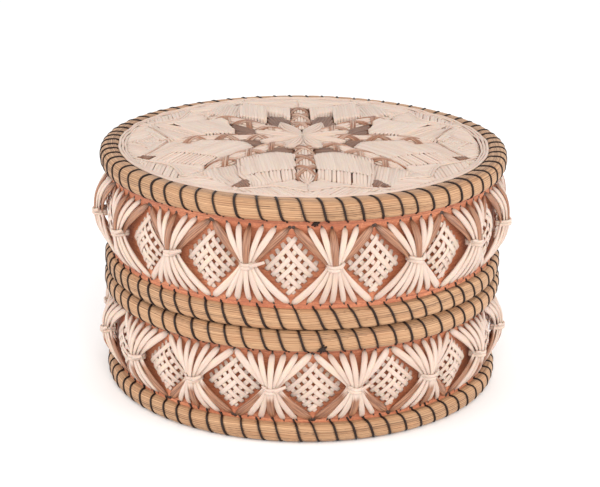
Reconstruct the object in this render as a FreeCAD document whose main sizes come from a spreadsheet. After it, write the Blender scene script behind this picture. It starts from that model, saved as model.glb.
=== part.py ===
# Round lidded box of birch bark, with sewn sweetgrass rims and porcupine quillwork
import FreeCAD, Part
import math
import os
import Sketcher

# Driving sizes, in millimetres and degrees
# The origin is on the floor, on the axis of the box, with +Z up and the seen side at -Y
SIZES = (
    # bark walls, seen from inside out
    ("CollarRadius", 81.5),
    ("BarkThick", 1.2),
    ("LiningThick", 0.9),
    ("LidFit", 0.4),
    ("CollarRise", 32.0),
    # heights, from the floor up
    ("FootRimHeight", 8.4),
    ("BaseBandHeight", 31.4),
    ("ShoulderRimHeight", 9.6),
    ("LidRimHeight", 9.0),
    ("LidBandHeight", 36.2),
    ("TopRimHeight", 9.6),
    # rims of bundled sweetgrass
    ("FootRimReach", 3.8),
    ("FootRimLap", 4.6),
    ("FootDiscLift", 3.0),
    ("ShoulderRimReach", 5.6),
    ("LidRimReach", 4.0),
    ("TopRimReach", 4.0),
    ("TopRimLap", 5.2),
    ("TopDiscDrop", 2.2),
    ("RimBevel", 2.6),
    # overcast stitches of black thread
    ("StitchCount", 70),
    ("ThreadWidth", 0.8),
    ("ThreadHeight", 0.6),
    ("TopStitchSlant", 4.4),
    ("SideStitchSlant", 3.2),
    # fans of quills, tied at the waist
    ("FanCount", 16),
    ("LidFanTurn", 8.4),
    ("BaseFanTurn", -7.8),
    ("FanTipMargin", 2.9),
    ("FanReach", 7.6),
    ("WaistWidth", 6.4),
    ("QuillWidth", 1.9),
    ("QuillHeight", 1.1),
    ("TieHeight", 2.9),
    ("TieThick", 0.5),
    ("TieWidth", 6.8),
    # plaited diamonds between the fans
    ("DiamondWidth", 21.3),
    ("DiamondMargin", 5.8),
    ("DiamondThick", 1.2),
    # quill star on the lid
    ("StarCount", 8),
    ("StarTurn", 2.6),
    ("PetalWidth", 7.4),
    ("PetalThick", 4.2),
    ("LeafThick", 3.0),
    ("SpokeWidth", 8.0),
    ("SpokeThick", 3.2),
    ("CrossingCount", 3),
    ("CrossingLength", 3.4),
    ("CrossingThick", 0.8),
    ("PanelThick", 1.9),
    ("FringeCount", 9),
    ("FringeAngle", 33.0),
    ("FringeThick", 1.3),
    ("BorderThick", 1.5),
    ("WedgeThick", 1.3),
)

# Radii and heights that follow from the driving sizes
COLLAR_IN = "(Sizes.CollarRadius - Sizes.BarkThick)"
COLLAR_OUT = "Sizes.CollarRadius"
BASE_WALL_OUT = "(Sizes.CollarRadius + Sizes.BarkThick)"
LINING_IN = "(Sizes.CollarRadius + Sizes.LidFit)"
LINING_OUT = "(Sizes.CollarRadius + Sizes.LidFit + Sizes.LiningThick)"
LID_WALL_OUT = "(Sizes.CollarRadius + Sizes.LidFit + Sizes.LiningThick + Sizes.BarkThick)"

BASE_BAND_LOW = "Sizes.FootRimHeight"
BASE_BAND_HIGH = "(Sizes.FootRimHeight + Sizes.BaseBandHeight)"
CLOSING = "(Sizes.FootRimHeight + Sizes.BaseBandHeight + Sizes.ShoulderRimHeight)"
LID_BAND_LOW = f"({CLOSING} + Sizes.LidRimHeight)"
LID_BAND_HIGH = f"({LID_BAND_LOW} + Sizes.LidBandHeight)"
RIM_TOP = f"({LID_BAND_HIGH} + Sizes.TopRimHeight)"
FLOOR_DISC_TOP = "(Sizes.FootDiscLift + Sizes.BarkThick)"
COLLAR_TOP = f"({CLOSING} + Sizes.CollarRise)"
TOP_DISC_TOP = f"({RIM_TOP} - Sizes.TopDiscDrop)"
TOP_DISC_LOW = f"({TOP_DISC_TOP} - Sizes.BarkThick)"
TOP_LINING_LOW = f"({TOP_DISC_LOW} - Sizes.LiningThick)"

# Tip of each quill as a share of half the angle between fans, and its slot at the waist
LIGHT_QUILL_SHARES = ((-0.62, -2), (-0.31, -1), (0.27, 1), (0.57, 2))
BROWN_QUILL_SHARES = ((-0.92, -3), (-0.02, 0), (0.90, 3))
WAIST_SLOTS = 7
WAIST_FILL_SHARE = 0.9

# Radii of the star's pieces as shares of the field inside the top rim
FIELD = f"({LID_WALL_OUT} - Sizes.TopRimLap)"
PETAL_SHARES = (0.02, 0.15, 0.28)
SPOKE_SHARES = (0.25, 0.33, 0.73, 0.81)
FRINGE_SHARES = (0.65, 0.85)

# Corners of the other pieces: share of the field and share of the angle to the next piece
LEAF_SHARES = ((0.29, 0), (0.24, 0.45), (0.42, 0), (0.24, -0.45))
PANEL_SHARES = ((0.46, 0), (0.37, 0.4), (0.38, 0.62), (0.64, 0.74), (0.64, 0.25),
                (0.64, -0.25), (0.64, -0.74), (0.38, -0.62), (0.37, -0.4))
WEDGE_SHARES = ((0.87, 0), (0.98, -0.12), (0.98, 0.12))
PATCH_SHARES = ((0.87, 0.12), (0.90, 0.62), (0.98, 0.76), (0.98, 0.2))
BORDER_LEAF_SHARES = ((0.97, 0.06), (0.90, 0.3), (0.88, 0.6), (0.95, 0.88), (0.985, 0.5))

document = FreeCAD.newDocument("QuillBox")
sheet = document.addObject("Spreadsheet::Sheet", "Sizes")
for row, (alias, number) in enumerate(SIZES, start=1):
    sheet.set(f"A{row}", alias)
    sheet.set(f"B{row}", str(number))
    sheet.setAlias(f"B{row}", alias)
document.recompute()


def value(expression):
    """Number that an expression on the sheet has now."""
    return float(sheet.evalExpression(expression.replace("Sizes.", "")))


def new_body(name):
    body = document.addObject("PartDesign::Body", name)
    body.Label = name
    return body


def origin_feature(body, role):
    return next(item for item in body.Origin.OriginFeatures if item.Role == role)


def turn_body(body, angle):
    """Turn a whole body about the axis of the box."""
    body.Placement = FreeCAD.Placement(FreeCAD.Vector(), FreeCAD.Rotation(FreeCAD.Vector(0, 0, 1), 1))
    body.setExpression("Placement.Rotation.Angle", angle)


def polygon(body, role, points, lift=None):
    """Closed outline on one of the body's own planes, each corner bound to the sheet."""
    sketch = body.newObject("Sketcher::SketchObject", f"{body.Name}_outline")
    sketch.AttachmentSupport = [(origin_feature(body, role), "")]
    sketch.MapMode = "FlatFace"
    if lift:
        sketch.setExpression("AttachmentOffset.Base.z", lift)
    corners = [FreeCAD.Vector(value(across), value(up), 0) for across, up in points]
    for index, corner in enumerate(corners):
        sketch.addGeometry(Part.LineSegment(corner, corners[(index + 1) % len(corners)]), False)
    for index in range(len(corners)):
        sketch.addConstraint(Sketcher.Constraint("Coincident", index, 2, (index + 1) % len(corners), 1))
    for index, (across, up) in enumerate(points):
        for kind, number, expression in (("DistanceX", corners[index].x, across),
                                         ("DistanceY", corners[index].y, up)):
            place = sketch.addConstraint(Sketcher.Constraint(kind, -1, 1, index, 1, number))
            sketch.setExpression(f"Constraints[{place}]", expression)
    return sketch


def revolved(name, points):
    """Piece turned about the axis of the box from its section, given as radius and height."""
    body = new_body(name)
    section = polygon(body, "XZ_Plane", points)
    turned = body.newObject("PartDesign::Revolution", f"{name}_turned")
    turned.Profile = section
    turned.ReferenceAxis = (section, ["V_Axis"])
    turned.Angle = 360
    body.Tip = turned
    return body


def tube(name, inner, outer, low, high):
    return revolved(name, ((inner, low), (outer, low), (outer, high), (inner, high)))


def disc(name, outer, low, high):
    return revolved(name, (("0", low), (outer, low), (outer, high), ("0", high)))


def repeated(body, features, count):
    """Repeat features round the axis of the box."""
    pattern = body.newObject("PartDesign::PolarPattern", f"{body.Name}_round")
    pattern.Originals = features
    pattern.Axis = (origin_feature(body, "Z_Axis"), [""])
    pattern.Angle = 360
    pattern.Refine = False
    pattern.setExpression("Occurrences", count)
    body.Tip = pattern


def ridge_section(body, across, out, angle, width, height, lift):
    """Level triangle that stands on its base, the base square to the direction at an angle."""
    half = f"({width}) / 2"
    points = (
        (f"{across} - {half} * cos({angle})", f"-({out}) - {half} * sin({angle})"),
        (f"{across} + {half} * cos({angle})", f"-({out}) + {half} * sin({angle})"),
        (f"{across} + ({height}) * sin({angle})", f"-({out}) - ({height}) * cos({angle})"),
    )
    return polygon(body, "XY_Plane", points, lift)


def lofted(body, sections):
    """Straight-sided solid through level sections, from the top one down."""
    loft = body.newObject("PartDesign::AdditiveLoft", f"{body.Name}_loft")
    loft.Profile = sections[0]
    loft.Sections = sections[1:]
    loft.Ruled = True
    loft.Refine = False
    return loft


def plate(body, points, thick, lift):
    """Flat piece on a level plane."""
    sketch = polygon(body, "XY_Plane", points, lift)
    pad = body.newObject("PartDesign::Pad", f"{body.Name}_pad")
    pad.Profile = sketch
    pad.setExpression("Length", thick)
    pad.Refine = False
    return pad


def front_plate(body, points, thick, out):
    """Flat piece on an upright plane in front of the axis, growing outwards."""
    sketch = polygon(body, "XZ_Plane", points, out)
    pad = body.newObject("PartDesign::Pad", f"{body.Name}_pad")
    pad.Profile = sketch
    pad.setExpression("Length", thick)
    pad.Refine = False
    return pad


def polar(radius, angle):
    """Corner at a radius and an angle from the front, seen from above."""
    return f"({radius}) * sin({angle})", f"-({radius}) * cos({angle})"


def stitches(name, rim_out, low, high, slant):
    """Slanted threads over the outer face of a rim, from upper left to lower right."""
    body = new_body(name)
    upper = ridge_section(body, f"-({slant}) / 2", rim_out, "0",
                          "Sizes.ThreadWidth", "Sizes.ThreadHeight", f"{high} - Sizes.RimBevel")
    lower = ridge_section(body, f"({slant}) / 2", rim_out, "0",
                          "Sizes.ThreadWidth", "Sizes.ThreadHeight", f"{low} + Sizes.RimBevel")
    repeated(body, [lofted(body, [upper, lower])], "Sizes.StitchCount")


def polyhedron(corners, faces):
    """Solid with plane faces, each face given by the numbers of its corners."""
    sides = []
    for face in faces:
        ring = [corners[number] for number in face]
        sides.append(Part.Face(Part.makePolygon(ring + ring[:1])))
    solid = Part.Solid(Part.Shell(sides))
    return solid if solid.Volume > 0 else solid.reversed()


def front_point(radius, angle, height):
    """Point at a radius and height, at an angle in degrees from the front."""
    return FreeCAD.Rotation(FreeCAD.Vector(0, 0, 1), angle).multVec(FreeCAD.Vector(0, -radius, height))


def quill(tips, waist, width, ridge):
    """Quill flat at its two tips and ridged at its waist, where it is narrow and stands out."""
    corners = []
    for tip in tips:
        corners += [tip - width["tip"], tip + width["tip"]]
    corners += [waist - width["waist"], waist + width["waist"], waist + ridge]
    upper_left, upper_right, lower_left, lower_right, left, right, crest = range(len(corners))
    faces = [(upper_left, upper_right, crest), (lower_right, lower_left, crest)]
    for tip_left, tip_right in ((upper_left, upper_right), (lower_left, lower_right)):
        faces += [(tip_left, left, crest), (tip_right, right, crest)]
        faces += [(tip_left, tip_right, left), (tip_right, left, right)]
    return polyhedron(corners, faces)


def fan_quills(name, shares, wall_out, low, high, turn):
    """Quills that spring from the bark, bow outwards to the waist of the fan and fan out again."""
    wall = value(wall_out)
    spread = 180 / value("Sizes.FanCount")
    slot = value("Sizes.WaistWidth") / WAIST_SLOTS
    height = value("Sizes.QuillHeight")
    out = wall + value("Sizes.FanReach") - value("Sizes.TieThick") - height
    across = FreeCAD.Vector(1, 0, 0)
    quills = []
    for tip_share, place in shares:
        angle = tip_share * spread
        tips = [front_point(wall, angle, value(high) - value("Sizes.FanTipMargin")),
                front_point(wall, angle, value(low) + value("Sizes.FanTipMargin"))]
        waist = FreeCAD.Vector(place * slot, -out, (value(low) + value(high)) / 2)
        width = {"tip": front_point(value("Sizes.QuillWidth") / 2, angle + 90, 0),
                 "waist": across * (slot * WAIST_FILL_SHARE / 2)}
        quills.append(quill(tips, waist, width, FreeCAD.Vector(0, -height, 0)))
    fans = []
    for number in range(int(value("Sizes.FanCount"))):
        for shape in quills:
            fans.append(shape.rotated(FreeCAD.Vector(), FreeCAD.Vector(0, 0, 1), 2 * spread * number))
    piece = document.addObject("Part::Feature", name)
    piece.Label = name
    piece.Shape = Part.Compound(fans)
    turn_body(piece, turn)


def fan_ties(name, wall_out, low, high, turn):
    """Short band of quill wrapped over the waist of each fan."""
    body = new_body(name)
    middle = f"({low} + {high}) / 2"
    half = "Sizes.TieWidth / 2"
    points = (
        (f"-{half}", f"{middle} - Sizes.TieHeight / 2"),
        (half, f"{middle} - Sizes.TieHeight / 2"),
        (half, f"{middle} + Sizes.TieHeight / 2"),
        (f"-{half}", f"{middle} + Sizes.TieHeight / 2"),
    )
    pad = front_plate(body, points, "Sizes.TieThick",
                              f"{wall_out} + Sizes.FanReach - Sizes.TieThick")
    repeated(body, [pad], "Sizes.FanCount")
    turn_body(body, turn)


def diamonds(name, wall_out, low, high, turn):
    """Plaited diamond panels on the bark, half way between the fans."""
    body = new_body(name)
    middle = f"({low} + {high}) / 2"
    points = (
        ("0", f"{low} + Sizes.DiamondMargin"),
        ("Sizes.DiamondWidth / 2", middle),
        ("0", f"{high} - Sizes.DiamondMargin"),
        ("-Sizes.DiamondWidth / 2", middle),
    )
    pad = front_plate(body, points, "Sizes.DiamondThick", wall_out)
    repeated(body, [pad], "Sizes.FanCount")
    turn_body(body, f"{turn} + 180 / Sizes.FanCount")


def rim(name, section):
    """Ring of short straight runs, one for each stitch, from its section of radius and height."""
    runs = int(value("Sizes.StitchCount"))
    widen = 1 / math.cos(math.pi / runs)
    profile = [(value(radius) * widen, value(height)) for radius, height in section]
    sides = len(profile)
    corners = []
    faces = []
    for run in range(runs):
        here, there = run * sides, (run + 1) % runs * sides
        for spot, (radius, height) in enumerate(profile):
            after = (spot + 1) % sides
            corners.append(front_point(radius, (run + 0.5) * 360 / runs, height))
            faces.append((here + spot, here + after, there + after, there + spot))
    piece = document.addObject("Part::Feature", name)
    piece.Label = name
    piece.Shape = polyhedron(corners, faces).removeSplitter()


def along_spoke(share):
    return f"-{FIELD} * {share}"


def star_corners(shares, side=1):
    """Corners from shares of the field and of the angle between a spoke and the middle of a sector."""
    return [polar(f"{FIELD} * {radius}", f"{side * angle} * 180 / Sizes.StarCount")
            for radius, angle in shares]


def star_plates(name, outlines, thick, turn, count="Sizes.StarCount", lift=TOP_DISC_TOP):
    """Flat quill pieces on the lid, repeated round the star."""
    body = new_body(name)
    repeated(body, [plate(body, points, thick, lift) for points in outlines], count)
    turn_body(body, turn)


# Bark shells
disc("base_bottom_disc", BASE_WALL_OUT, "Sizes.FootDiscLift", FLOOR_DISC_TOP)
tube("base_side_wall", COLLAR_OUT, BASE_WALL_OUT, FLOOR_DISC_TOP, BASE_BAND_HIGH)
tube("base_collar", COLLAR_IN, COLLAR_OUT, FLOOR_DISC_TOP, COLLAR_TOP)
tube("lid_side_lining", LINING_IN, LINING_OUT, CLOSING, TOP_LINING_LOW)
tube("lid_side_wall", LINING_OUT, LID_WALL_OUT, LID_BAND_LOW, TOP_DISC_LOW)
disc("lid_top_disc", LID_WALL_OUT, TOP_DISC_LOW, TOP_DISC_TOP)
disc("lid_top_lining", LINING_OUT, TOP_LINING_LOW, TOP_DISC_LOW)

# Sweetgrass rims: round outside, flat where they are sewn against the bark
FOOT_OUT = f"({BASE_WALL_OUT} + Sizes.FootRimReach)"
SHOULDER_OUT = f"({COLLAR_OUT} + Sizes.ShoulderRimReach)"
LID_RIM_OUT = f"({LINING_OUT} + Sizes.LidRimReach)"
TOP_OUT = f"({LID_WALL_OUT} + Sizes.TopRimReach)"

rim("base_foot_sweetgrass", (
    (BASE_WALL_OUT, BASE_BAND_LOW),
    (BASE_WALL_OUT, "Sizes.FootDiscLift"),
    (f"{BASE_WALL_OUT} - Sizes.FootRimLap", "Sizes.FootDiscLift"),
    (f"{BASE_WALL_OUT} - Sizes.FootRimLap + Sizes.RimBevel", "0"),
    (f"{FOOT_OUT} - Sizes.RimBevel", "0"),
    (FOOT_OUT, "Sizes.RimBevel"),
    (FOOT_OUT, f"{BASE_BAND_LOW} - Sizes.RimBevel"),
))
rim("base_shoulder_sweetgrass", (
    (COLLAR_OUT, BASE_BAND_HIGH),
    (f"{SHOULDER_OUT} - Sizes.RimBevel", BASE_BAND_HIGH),
    (SHOULDER_OUT, f"{BASE_BAND_HIGH} + Sizes.RimBevel"),
    (SHOULDER_OUT, f"{CLOSING} - Sizes.RimBevel"),
    (f"{SHOULDER_OUT} - Sizes.RimBevel", CLOSING),
    (COLLAR_OUT, CLOSING),
))
rim("lid_lower_sweetgrass", (
    (LINING_OUT, CLOSING),
    (f"{LID_RIM_OUT} - Sizes.RimBevel", CLOSING),
    (LID_RIM_OUT, f"{CLOSING} + Sizes.RimBevel"),
    (LID_RIM_OUT, f"{LID_BAND_LOW} - Sizes.RimBevel"),
    (f"{LID_RIM_OUT} - Sizes.RimBevel", LID_BAND_LOW),
    (LINING_OUT, LID_BAND_LOW),
))
rim("lid_top_sweetgrass", (
    (LID_WALL_OUT, LID_BAND_HIGH),
    (TOP_OUT, f"{LID_BAND_HIGH} + Sizes.RimBevel"),
    (TOP_OUT, f"{RIM_TOP} - Sizes.RimBevel"),
    (f"{TOP_OUT} - Sizes.RimBevel", RIM_TOP),
    (f"{LID_WALL_OUT} - Sizes.TopRimLap + Sizes.RimBevel", RIM_TOP),
    (f"{LID_WALL_OUT} - Sizes.TopRimLap", TOP_DISC_TOP),
    (LID_WALL_OUT, TOP_DISC_TOP),
))

# Thread over the rims
stitches("base_foot_stitches", FOOT_OUT, "0", BASE_BAND_LOW, "Sizes.SideStitchSlant")
stitches("base_shoulder_stitches", SHOULDER_OUT, BASE_BAND_HIGH, CLOSING, "Sizes.SideStitchSlant")
stitches("lid_lower_stitches", LID_RIM_OUT, CLOSING, LID_BAND_LOW, "Sizes.SideStitchSlant")
stitches("lid_top_stitches", TOP_OUT, LID_BAND_HIGH, RIM_TOP, "Sizes.TopStitchSlant")

# Quill fans and plaited diamonds on the two bands
for part, wall, low, high, turn in (
    ("base", BASE_WALL_OUT, BASE_BAND_LOW, BASE_BAND_HIGH, "Sizes.BaseFanTurn"),
    ("lid", LID_WALL_OUT, LID_BAND_LOW, LID_BAND_HIGH, "Sizes.LidFanTurn"),
):
    fan_quills(f"{part}_fan_quills_light", LIGHT_QUILL_SHARES, wall, low, high, turn)
    fan_quills(f"{part}_fan_quills_brown", BROWN_QUILL_SHARES, wall, low, high, turn)
    fan_ties(f"{part}_fan_ties", wall, low, high, turn)
    diamonds(f"{part}_diamonds", wall, low, high, turn)

# Quill star on the lid: spokes on the star's own angle, petals and panels half way between
BETWEEN = "Sizes.StarTurn + 180 / Sizes.StarCount"
HALF_SPOKE = "Sizes.SpokeWidth / 2"
HALF_STAR = "Sizes.StarCount / 2"

petal_start, petal_middle, petal_end = [along_spoke(share) for share in PETAL_SHARES]
star_plates("lid_rosette_petals", [(
    ("0", petal_start),
    ("Sizes.PetalWidth / 2", petal_middle),
    ("0", petal_end),
    ("-Sizes.PetalWidth / 2", petal_middle),
)], "Sizes.PetalThick", BETWEEN)

star_plates("lid_dark_leaves", [star_corners(LEAF_SHARES)], "Sizes.LeafThick", BETWEEN)

spoke_start, spoke_shoulder, spoke_neck, spoke_end = [along_spoke(share) for share in SPOKE_SHARES]
star_plates("lid_spokes", [(
    ("0", spoke_start),
    (HALF_SPOKE, spoke_shoulder),
    (HALF_SPOKE, spoke_neck),
    ("0", spoke_end),
    (f"-{HALF_SPOKE}", spoke_neck),
    (f"-{HALF_SPOKE}", spoke_shoulder),
)], "Sizes.SpokeThick", "Sizes.StarTurn")

crossings = []
for place in range(int(value("Sizes.CrossingCount"))):
    centre = (f"({spoke_shoulder} + ({spoke_neck} - ({spoke_shoulder}))"
              f" * {place + 0.5} / Sizes.CrossingCount)")
    crossings.append((
        ("0", f"{centre} + Sizes.CrossingLength / 2"),
        (HALF_SPOKE, f"{centre} - Sizes.CrossingLength / 2"),
        (f"-{HALF_SPOKE}", f"{centre} - Sizes.CrossingLength / 2"),
    ))
star_plates("lid_spoke_crossings", crossings, "Sizes.CrossingThick", "Sizes.StarTurn",
            lift=f"{TOP_DISC_TOP} + Sizes.SpokeThick")

star_plates("lid_panels", [star_corners(PANEL_SHARES)], "Sizes.PanelThick", BETWEEN)

fringe_start, fringe_end = [f"{FIELD} * {share}" for share in FRINGE_SHARES]
fringe = []
for place in range(int(value("Sizes.FringeCount"))):
    angle = f"(Sizes.FringeAngle * ({place} / (Sizes.FringeCount - 1) - 0.5))"
    half_foot = "Sizes.FringeAngle / Sizes.FringeCount / 3"
    fringe.append((
        polar(fringe_start, f"{angle} - {half_foot}"),
        polar(fringe_end, angle),
        polar(fringe_start, f"{angle} + {half_foot}"),
    ))
star_plates("lid_fringe_quills", fringe, "Sizes.FringeThick", BETWEEN)

star_plates("lid_border_wedges", [star_corners(WEDGE_SHARES)], "Sizes.WedgeThick", BETWEEN)

star_plates("lid_border_leaves", [star_corners(BORDER_LEAF_SHARES, side) for side in (-1, 1)],
            "Sizes.BorderThick", "Sizes.StarTurn", HALF_STAR)
star_plates("lid_border_patches", [star_corners(PATCH_SHARES, side) for side in (-1, 1)],
            "Sizes.BorderThick", "Sizes.StarTurn + 360 / Sizes.StarCount", HALF_STAR)

document.recompute()

# Every object has to be sound before anything is written
for item in document.Objects:
    if "Invalid" in item.State or "Error" in item.State:
        raise RuntimeError(f"{item.Label} did not compute: {item.State}")
pieces = [item for item in document.Objects if item.TypeId in ("PartDesign::Body", "Part::Feature")]
for piece in pieces:
    if piece.Shape.isNull() or not piece.Shape.isValid():
        raise RuntimeError(f"{piece.Label} has no sound shape")

os.makedirs("parts", exist_ok=True)
for piece in pieces:
    piece.Shape.exportStep(f"parts/{piece.Label}.step")
    print(piece.Label, len(piece.Shape.Solids), "solids", round(piece.Shape.Volume), "mm3")
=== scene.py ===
"""A round lidded box of birch bark with sweetgrass rims and porcupine quillwork.

Everything is in metres, z up, with the box standing on z = 0 and the front towards -y.
An angle of 0 is at the front, and angles grow towards +x.
"""
import math

import bpy
import numpy as np
from mathutils import Matrix, Vector


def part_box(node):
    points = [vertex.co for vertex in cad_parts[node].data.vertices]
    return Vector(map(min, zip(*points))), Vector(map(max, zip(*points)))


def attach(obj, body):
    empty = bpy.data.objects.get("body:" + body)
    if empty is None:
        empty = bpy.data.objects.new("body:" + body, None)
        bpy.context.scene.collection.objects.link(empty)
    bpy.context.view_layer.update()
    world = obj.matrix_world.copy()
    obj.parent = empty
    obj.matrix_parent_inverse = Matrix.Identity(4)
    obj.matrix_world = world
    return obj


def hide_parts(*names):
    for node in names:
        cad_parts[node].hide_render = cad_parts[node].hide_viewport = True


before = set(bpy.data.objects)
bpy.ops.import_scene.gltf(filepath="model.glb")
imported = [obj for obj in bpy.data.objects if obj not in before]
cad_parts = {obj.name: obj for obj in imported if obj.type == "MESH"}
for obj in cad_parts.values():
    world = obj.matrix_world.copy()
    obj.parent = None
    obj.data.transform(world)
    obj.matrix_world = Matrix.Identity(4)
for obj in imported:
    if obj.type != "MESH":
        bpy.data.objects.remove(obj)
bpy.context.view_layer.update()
MM = 0.001


# Places read from the solid model

def reach(node):
    """Outer radius, lowest and highest level of a round node."""
    low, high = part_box(node)
    return max(high.x, high.y), low.z, high.z


LID_WALL, BASE_WALL, COLLAR, LINING = (
    reach(node)[0] for node in ("lid_side_wall", "base_side_wall", "base_collar", "lid_side_lining"))
FOOT_RIM, FOOT_LOW, FOOT_HIGH = reach("base_foot_sweetgrass")
SHOULDER_RIM, SHOULDER_LOW, SHOULDER_HIGH = reach("base_shoulder_sweetgrass")
LOWER_RIM, LOWER_LOW, LOWER_HIGH = reach("lid_lower_sweetgrass")
TOP_RIM, TOP_LOW, TOP_HIGH = reach("lid_top_sweetgrass")
_, FLOOR_DISC_LOW, _ = reach("base_bottom_disc")
_, _, LID_TOP = reach("lid_top_disc")

STITCH_COUNT = 70
FAN_COUNT = 16
STAR_COUNT = 8
FOOT_RIM_LAP = 4.6 * MM
TOP_RIM_LAP = 5.2 * MM
LID_FAN_TURN = math.radians(8.4)
BASE_FAN_TURN = math.radians(-7.8)
STAR_TURN = math.radians(2.1)
FIELD = LID_WALL - TOP_RIM_LAP
UPWARD = np.array([0.0, 0.0, 1.0])
FULL_TURN = 2 * math.pi
SHORTEST = 1e-12


# Mesh building

def around(radius, angle, level):
    """Points on a circle about the axis; every argument may be an array."""
    radius, angle, level = np.broadcast_arrays(radius, angle, level)
    return np.stack([radius * np.sin(angle), -radius * np.cos(angle), level], axis=-1)


def unit(vectors):
    return vectors / np.maximum(np.linalg.norm(vectors, axis=-1, keepdims=True), SHORTEST)


def smooth(values):
    values = np.clip(values, 0.0, 1.0)
    return values * values * (3 - 2 * values)


def squared(wave, power):
    """A cosine or sine with its rounds pressed towards a square."""
    return np.sign(wave) * np.abs(wave) ** power


def lengths_along(points):
    """The length of a line of points from its start to each point."""
    return np.concatenate([[0.0], np.cumsum(np.linalg.norm(np.diff(points, axis=0), axis=1))])


class Weave:
    """Gathers many small grids of points into one mesh.

    Each point carries lay, (length along the fibre, distance across it, number of the fibre) in
    millimetres, which the materials use for their streaks, tint, the share of brown, and soot,
    the share of darkening: own dark colour on some quills, and painted shade in grooves, in holes and
    where quills go into the bark.
    """

    def __init__(self):
        self.points, self.faces, self.lays, self.tints, self.soots = [], [], [], [], []
        self.size = 0
        self.fibres = 0

    def grid(self, points, lay, tint=0.0, soot=0.0, loop=False):
        """Adds a grid of points: rows follow the fibre, columns go round it."""
        rows, columns = points.shape[:2]
        index = self.size + np.arange(rows * columns).reshape(rows, columns)
        next_row = np.roll(index, -1, axis=0) if loop else index[1:]
        this_row = index if loop else index[:-1]
        quads = np.stack([this_row, next_row, np.roll(next_row, -1, axis=1),
                          np.roll(this_row, -1, axis=1)], axis=-1)
        self.faces.extend(quads.reshape(-1, 4).tolist())
        if not loop:
            self.faces.extend((index[0].tolist(), index[-1, ::-1].tolist()))
        self.points.append(points.reshape(-1, 3))
        self.lays.append(np.broadcast_to(lay, points.shape).reshape(-1, 3))
        self.tints.append(np.broadcast_to(tint, (rows, columns)).reshape(-1))
        self.soots.append(np.broadcast_to(soot, (rows, columns)).reshape(-1))
        self.size += rows * columns
        self.fibres += 1

    def fibre(self, path, up, half_width, half_height, tint=0.0, soot=0.0, sides=8, squareness=0.8):
        """Adds one quill, thread or strip along a path, with its broad side facing up."""
        run = unit(np.gradient(path, axis=0))
        side = unit(np.cross(run, up))
        up = unit(np.cross(side, run))
        turn = np.arange(sides) * (FULL_TURN / sides) + math.pi / sides
        out = squared(np.sin(turn), squareness)
        across = np.broadcast_to(half_width, len(path))[:, None] * squared(np.cos(turn), squareness)
        above = np.broadcast_to(half_height, len(path))[:, None] * out
        points = path[:, None] + side[:, None] * across[..., None] + up[:, None] * above[..., None]
        lay = np.empty(points.shape)
        lay[..., 0] = lengths_along(path)[:, None] / MM
        lay[..., 1] = across / MM + np.sign(out)
        lay[..., 2] = self.fibres
        self.grid(points, lay, np.atleast_1d(tint)[:, None], np.atleast_1d(soot)[:, None])

    def piece(self, node, slot, material):
        """Makes the gathered mesh into an object that rides on its body in place of a node."""
        body = node.split("_")[0]
        mesh = bpy.data.meshes.new(f"{node}_detail")
        mesh.from_pydata(np.concatenate(self.points).tolist(), [], self.faces)
        mesh.polygons.foreach_set("use_smooth", np.ones(len(mesh.polygons), bool))
        for label, kind, key, values in (("lay", "FLOAT_VECTOR", "vector", self.lays),
                                         ("tint", "FLOAT", "value", self.tints),
                                         ("soot", "FLOAT", "value", self.soots)):
            field = mesh.attributes.new(label, kind, "POINT")
            field.data.foreach_set(key, np.concatenate(values).astype(np.float32).ravel())
        mesh.update()
        piece = bpy.data.objects.new(f"{node}_detail", mesh)
        bpy.context.collection.objects.link(piece)
        piece.data.materials.append(material)
        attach(piece, body)
        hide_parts(node)


# Materials

# sRGB colours, 0 to 255
BARK_DEEP, BARK_PALE = (176, 104, 69), (200, 130, 93)
BARK_GRAIN, BARK_FLECK, BARK_SPECKLE = (149, 78, 52), (129, 66, 46), (143, 74, 48)
BARK_GLINT, BARK_SCORE = (227, 162, 120), (112, 56, 42)
CREAM, CREAM_SHADE, CREAM_STREAK = (203, 184, 171), (193, 170, 156), (177, 145, 126)
# QUILL_DARK_AND_SHADE is the near black of dark quills and painted shade at holes and quill tips
CREAM_CLOUD, QUILL_DARK_AND_SHADE = (205, 183, 152), (36, 22, 18)
BROWN, BROWN_STREAK, BROWN_SHADE = (172, 124, 94), (104, 66, 48), (132, 88, 64)
STRAW_DARK, STRAW, STRAW_HAIR = (138, 98, 64), (206, 164, 124), (118, 80, 54)
# STRAW_GAP_SHADE is painted shade for the grooves between strands and under the stitches
STRAW_PATCH, STRAW_GAP_SHADE = (172, 118, 80), (54, 34, 22)
BLACK, BLACK_TWIST, BLACK_WEAR = (24, 13, 10), (48, 30, 23), (72, 58, 50)
FLOOR_PALE, FLOOR_SHADE = (250, 250, 250), (246, 246, 247)
SCORE_WAVER = 0.3 * MM


def linear(colour):
    """An sRGB colour as the linear colour that shaders take."""
    shares = [channel / 255 for channel in colour]
    return tuple(s / 12.92 if s <= 0.04045 else ((s + 0.055) / 1.055) ** 2.4 for s in shares) + (1.0,)


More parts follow.
